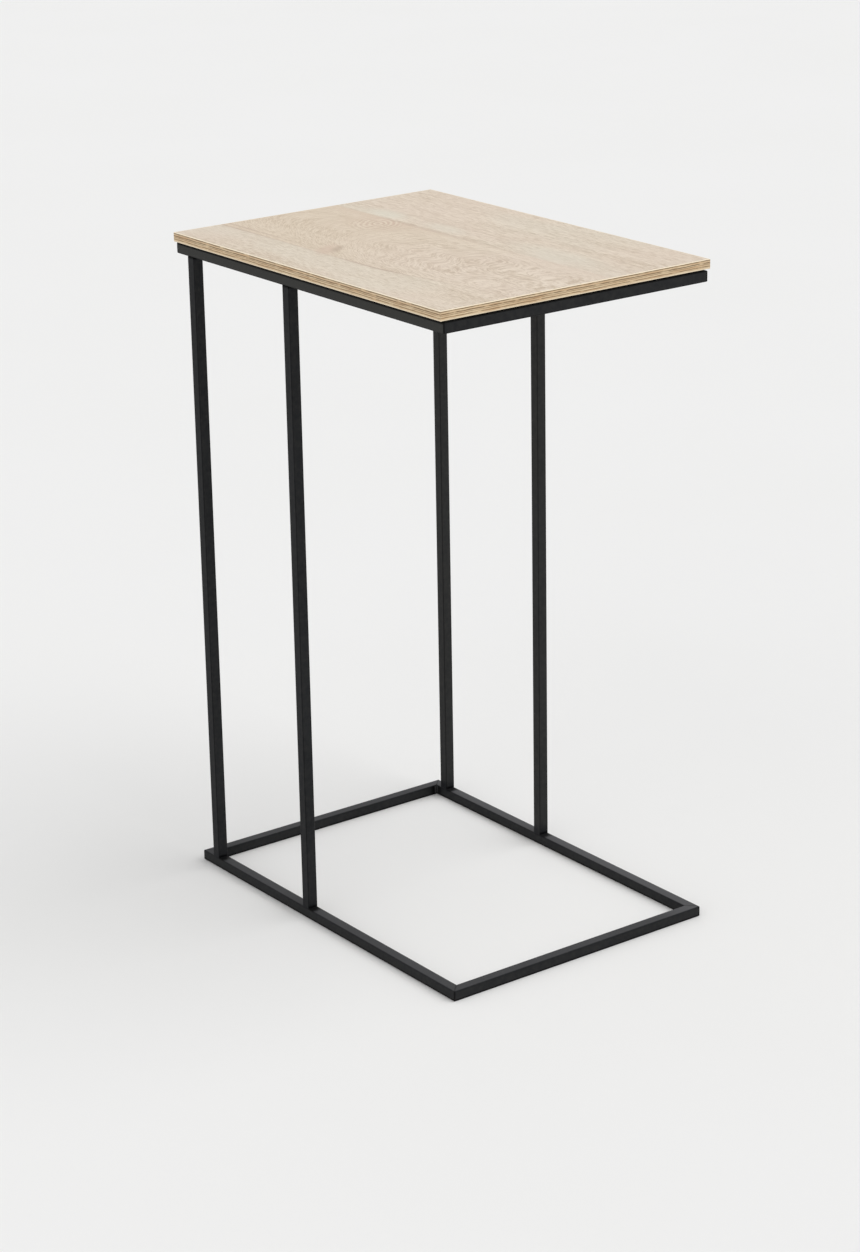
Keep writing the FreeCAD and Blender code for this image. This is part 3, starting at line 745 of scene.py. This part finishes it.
def makeBead(look):  # a rippled weld, of which the quarter in the open corner is kept
    radius, half = look["radius"], look["height"] / 2
    endRadius = radius * look["taper"]
    bead = newRim("weldBeadPattern", look["sides"], endRadius, -half)
    step = look["height"] / look["ripples"]
    profile = []
    for index in range(look["ripples"]):
        crest = radius - look["uneven"] * (1.0 + math.sin(index * 2.3))
        start = -half + index * step
        share = look["endShare"] if index in (0, look["ripples"] - 1) else 1.0
        for dipShare, way in look["ripple"]:
            profile.append(((crest - look["dip"] * dipShare) * share, start + step * way))
    turnRim((endRadius, -half), profile + [(endRadius, half)])
    for end in (-half, half):
        choose(bead, "EDGE", lambda place: abs(place.z - end) < near)
        bpy.ops.mesh.edge_face_add()
    for normal in ((1.0, 0.0, 0.0), (0.0, 1.0, 0.0)):
        bpy.ops.mesh.select_all(action="SELECT")
        bpy.ops.mesh.bisect(plane_co=(0.0, 0.0, 0.0), plane_no=normal, use_fill=True,
                            clear_inner=True, threshold=0.0001 * mm)
    closeUp(look["smooth"])
    return bead


bead = makeBead(beadLook)
for ring, middle in zip(("base", "top"), beadLook["middles"]):
    fat = beadLook["fatGirth"] if ring == "base" else 1.0
    places = [(-cornerX, -cornerY, middle, 0.0, 0.0, 1.0),
              (cornerX, -cornerY, middle, 90.0, 0.0, 1.0),
              (cornerX, cornerY, middle, 180.0, 0.0, fat),
              (-cornerX, cornerY, middle, 270.0, 0.0, 1.0)]
    setOut(bead, ring + "WeldBeads", places, "frame_black", ring + "_ring_corner_welds")
bpy.data.objects.remove(bead)
print("weld beads made")


floorLook = {
    "size": 60000.0,
    "level": -0.1,                   # just under the base, so that the two don't share a plane
    "colour": tone(240, 240, 240),
    "cloud": tone(238, 238, 237),
    "roughness": 0.8, "gloss": 0.1,
}
bpy.ops.object.select_all(action="DESELECT")
bpy.ops.mesh.primitive_plane_add(size=floorLook["size"] * mm,
                                 location=(0.0, 0.0, floorLook["level"] * mm))
floor = bpy.context.object
floor.name = "studioFloor"
floorFinish = newFinish("paleFloor")
x, y = floorFinish.place()[:2]
cloud = floorFinish.noise(x * 0.002, y * 0.002, 0.0, detail=2.0)
floorColour = floorFinish.blend(cloud, floorLook["colour"], floorLook["cloud"])
floor.data.materials.append(floorFinish.surface(floorColour, floorLook["roughness"],
                                                Specular_IOR_Level=floorLook["gloss"]))

lightLook = {
    "world": 0.60,
    "paleRoom": 0.85,
    "suns": (                        # each shines from its place towards the origin
        {"name": "keySun", "from": (1.1, -1.2, 2.2), "strength": 1.30, "spread": 55.0},
        {"name": "sideSun", "from": (-2.0, -0.6, 1.1), "strength": 0.50, "spread": 60.0},
    ),
}
scene.world = bpy.data.worlds.new("studioWorld")
room = Finish(scene.world)
white = (1.0, 1.0, 1.0, 1.0)
plainRoom = room.add("Background", {}, {"Color": white, "Strength": lightLook["world"]})
# camera, glossy and transmitted rays see a paler room than the one that lights the table
paleRoom = room.add("Background", {}, {"Color": white, "Strength": lightLook["paleRoom"]})
seen = room.add("LightPath", {}, {}, "Is Camera Ray")
for ray in ("Is Glossy Ray", "Is Transmission Ray"):
    seen = seen.calc("MAXIMUM", room.add("LightPath", {}, {}, ray))
pick = room.add("MixShader", {}, {0: seen, 1: plainRoom, 2: paleRoom})
room.add("OutputWorld", {}, {"Surface": pick})
for sun in lightLook["suns"]:
    bpy.ops.object.light_add(type="SUN", location=sun["from"])
    lamp = bpy.context.object
    lamp.name = sun["name"]
    lamp.rotation_euler = Vector(sun["from"]).to_track_quat("Z", "Y").to_euler()
    lamp.data.energy = sun["strength"]
    lamp.data.angle = math.radians(sun["spread"])

cameraLook = {
    "place": (-1604.71, -2147.31, 1200.4),
    "turn": (70.6428, 0.984, -36.8923),
    "lens": 90.0175,
    "sensor": 36.0,
    "clipEnd": 100000.0,
}
bpy.ops.object.camera_add(location=[value * mm for value in cameraLook["place"]])
camera = bpy.context.object
camera.name = "studioCamera"
camera.rotation_euler = [math.radians(angle) for angle in cameraLook["turn"]]
camera.data.lens = cameraLook["lens"]
camera.data.sensor_width = cameraLook["sensor"]
camera.data.clip_end = cameraLook["clipEnd"] * mm
scene.camera = camera
scene.view_settings.view_transform = "Standard"
print("stage, lights and camera set")
